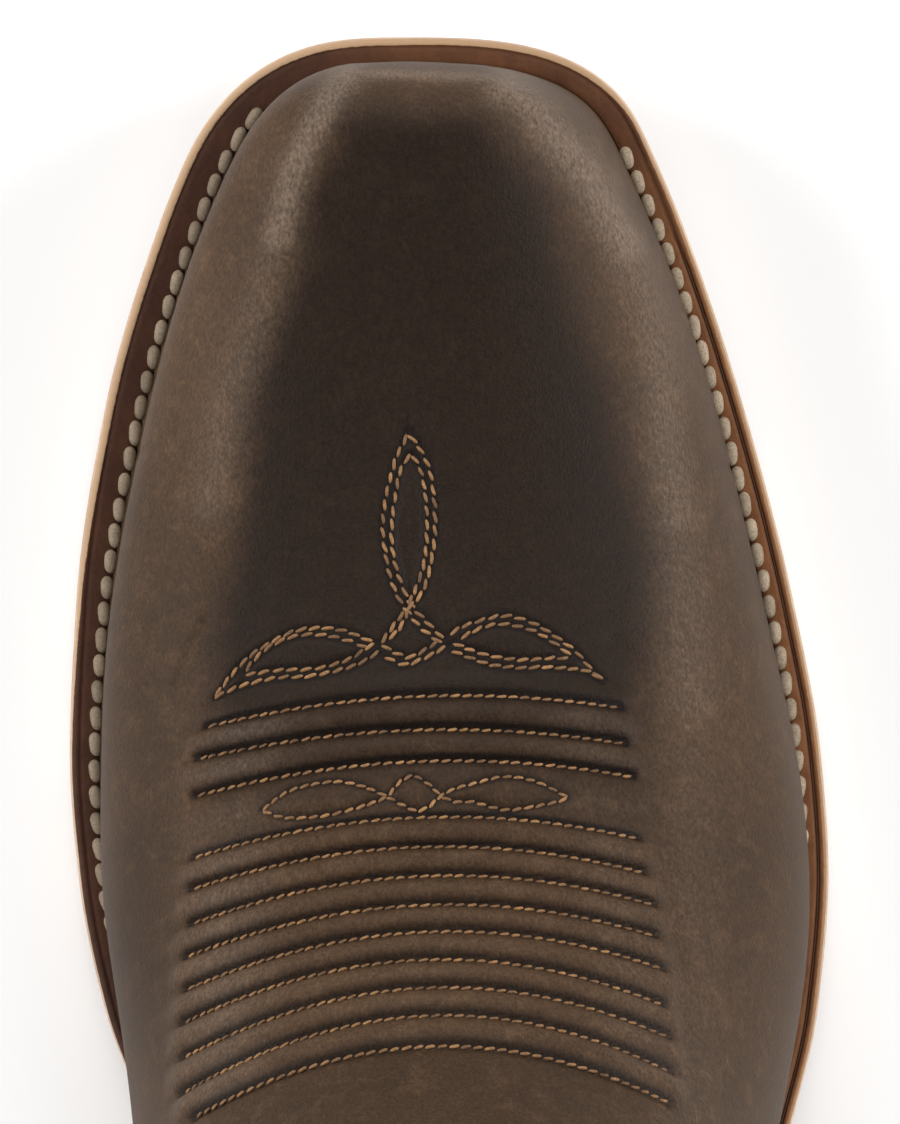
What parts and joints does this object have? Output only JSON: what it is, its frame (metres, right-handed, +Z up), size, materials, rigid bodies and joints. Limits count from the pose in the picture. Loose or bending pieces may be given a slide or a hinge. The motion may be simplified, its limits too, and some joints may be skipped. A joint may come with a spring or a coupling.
{
  "type": "western boot",
  "caption": "Pull-on western boot for the right foot, with a broad square toe, stitched vamp, stacked heel, welted sole and looped pull straps.",
  "frame": {"origin": "on the floor, under the centre of the heel", "axes": "+Z up; the toe points along -Y; +X is the medial side and -X the lateral side of this right boot"},
  "size_m": [0.1117, 0.3079, 0.366],
  "materials": {
    "upper_leather": "waxed pull-up leather, mottled dark brown",
    "counter_leather": "waxed pull-up leather, mottled dark brown",
    "strap_leather": "waxed pull-up leather, dark brown",
    "trim_leather": "dark brown, satin",
    "welt_leather": "red-brown stain, satin",
    "sole_leather": "natural, matte",
    "lift_leather": "stacked and stained brown, satin",
    "insole_leather": "natural tan, matte",
    "cap_rubber": "black, matte"
  },
  "bodies": {
    "root": {"outsole": "sole_leather", "welt": "welt_leather", "heel_cap": "cap_rubber", "heel_lift_1": "lift_leather", "heel_lift_2": "lift_leather", "heel_lift_3": "lift_leather", "heel_lift_4": "lift_leather", "insole": "insole_leather", "upper": "upper_leather", "counter": "counter_leather", "side_piping_lateral": "trim_leather", "side_piping_medial": "trim_leather", "collar_binding": "trim_leather", "pull_strap_lateral": "strap_leather", "pull_strap_medial": "strap_leather"}
  },
  "joints": []
}
